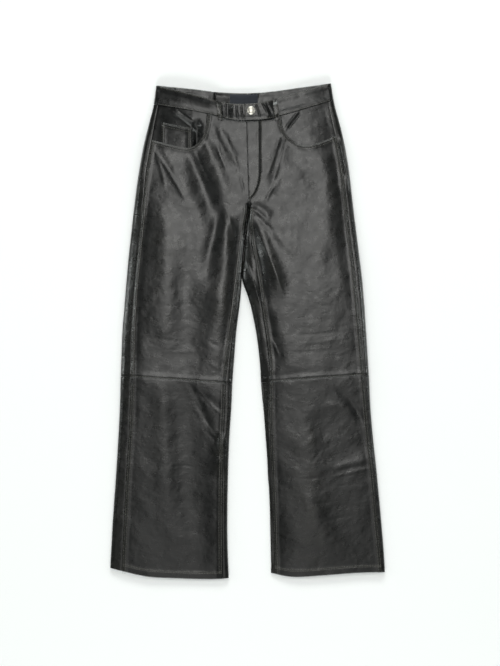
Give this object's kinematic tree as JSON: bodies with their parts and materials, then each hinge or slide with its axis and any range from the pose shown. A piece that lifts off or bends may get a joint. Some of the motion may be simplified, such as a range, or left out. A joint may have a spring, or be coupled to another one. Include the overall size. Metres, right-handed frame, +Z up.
{
  "type": "leather trousers",
  "caption": "Flared five-pocket leather trousers laid flat, front up, with a buttoned waistband, a closed fly, scooped hand pockets, a coin pocket, belt loops and a seam across each knee.",
  "frame": {"origin": "middle of the garment's outline, on the surface that it lies on", "axes": "+Y from the hems to the waist, +X to the wearer's left, +Z up from the surface, out of the front"},
  "size_m": [0.5774, 1.0418, 0.0237],
  "materials": {
    "leather": "smooth black nappa, semi-gloss",
    "button_metal": "satin silver-tone metal",
    "label_cloth": "plain dark navy woven label",
    "thread": "black polyester topstitching"
  },
  "bodies": {
    "root": {"front_upper_right": "leather", "front_upper_left": "leather", "front_lower_right": "leather", "front_lower_left": "leather", "back_upper_right": "leather", "back_upper_left": "leather", "back_lower_right": "leather", "back_lower_left": "leather", "pocket_facing_right": "leather", "pocket_facing_left": "leather", "coin_pocket": "leather", "fly_shield": "leather", "waistband_right": "leather", "waistband_left": "leather", "belt_loop_right": "leather", "belt_loop_left": "leather", "button": "button_metal", "waist_label": "label_cloth"}
  },
  "joints": []
}
